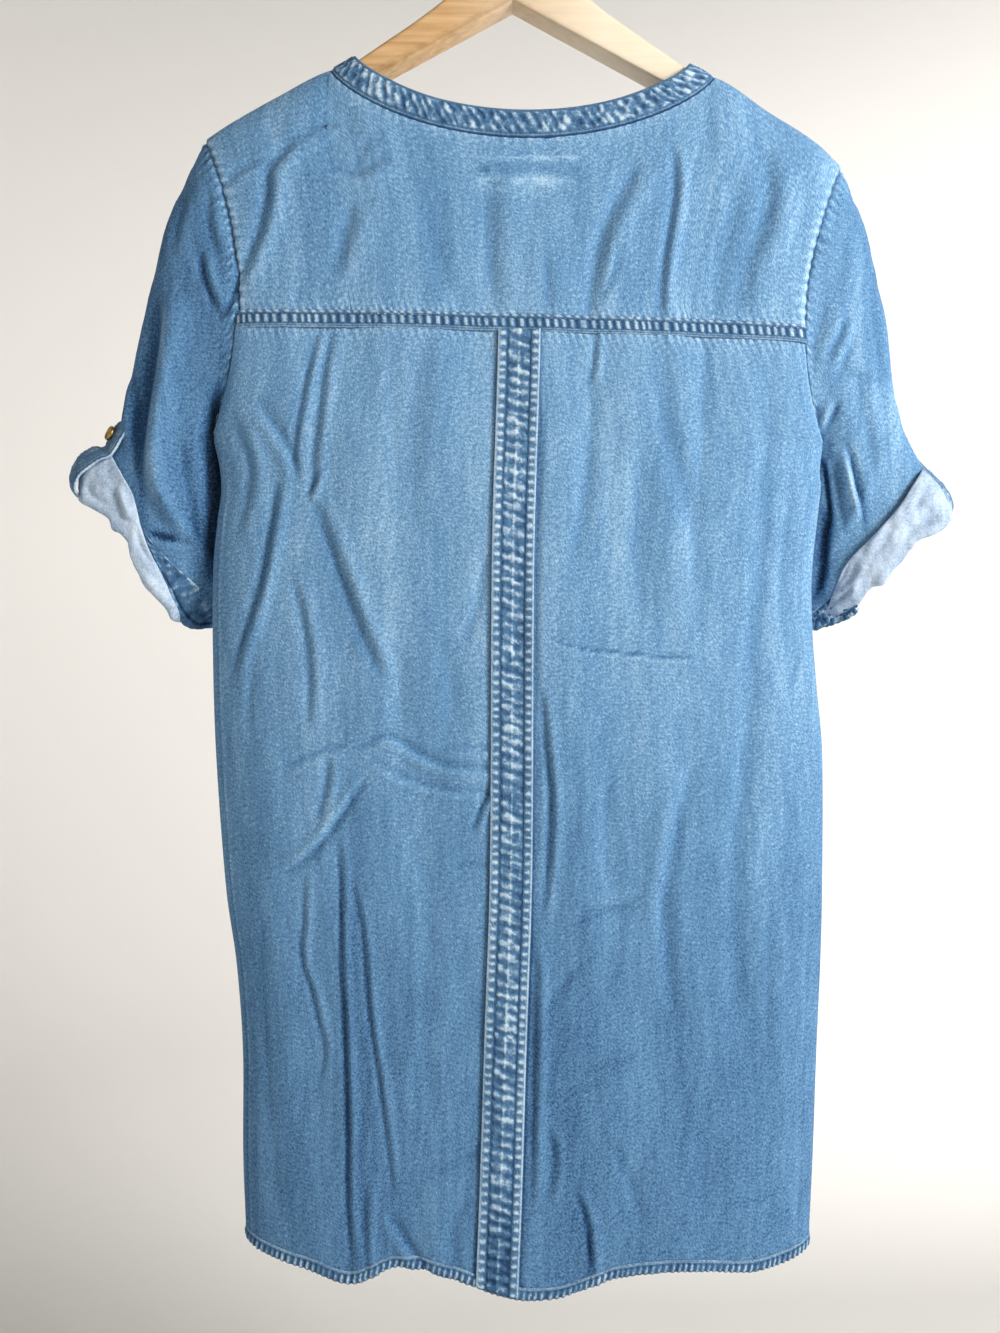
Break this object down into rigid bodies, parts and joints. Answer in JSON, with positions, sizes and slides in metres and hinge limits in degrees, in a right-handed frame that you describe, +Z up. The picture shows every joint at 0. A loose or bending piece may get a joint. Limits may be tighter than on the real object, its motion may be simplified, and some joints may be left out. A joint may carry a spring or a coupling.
{
  "type": "shift dress on a wooden hanger",
  "caption": "Collarless denim shift dress with a deep back yoke, a centre-back strip and rolled short sleeves, hung flat on a wooden hanger.",
  "frame": {"origin": "inside top of the hanger's hook, where it rests on a rail", "axes": "+Z up, -Y the way the dress's back faces, +X to the right of someone who looks at that back"},
  "size_m": [0.6286, 0.0751, 1.012],
  "materials": {
    "denim": "soft matt twill",
    "denim_band": "matt twill, worn pale along its puckers",
    "denim_inside": "matt pale wrong side of the twill",
    "button_brass": "satin, aged",
    "hanger_wood": "satin lacquer",
    "hook_steel": "polished"
  },
  "bodies": {
    "root": {"back_yoke": "denim", "back_panel_left": "denim", "back_panel_right": "denim", "front_panel": "denim", "sleeve_left": "denim", "sleeve_right": "denim", "neckband": "denim_band", "yoke_band": "denim_band", "back_strip": "denim_band", "hem_back": "denim_band", "hem_front": "denim_band", "cuff_hem_left": "denim_band", "cuff_hem_right": "denim_band", "tab_left": "denim_band", "tab_right": "denim_band", "cuff_left": "denim_inside", "cuff_right": "denim_inside", "button_left": "button_brass", "button_right": "button_brass", "hanger_wood": "hanger_wood", "hanger_hook": "hook_steel"}
  },
  "joints": []
}
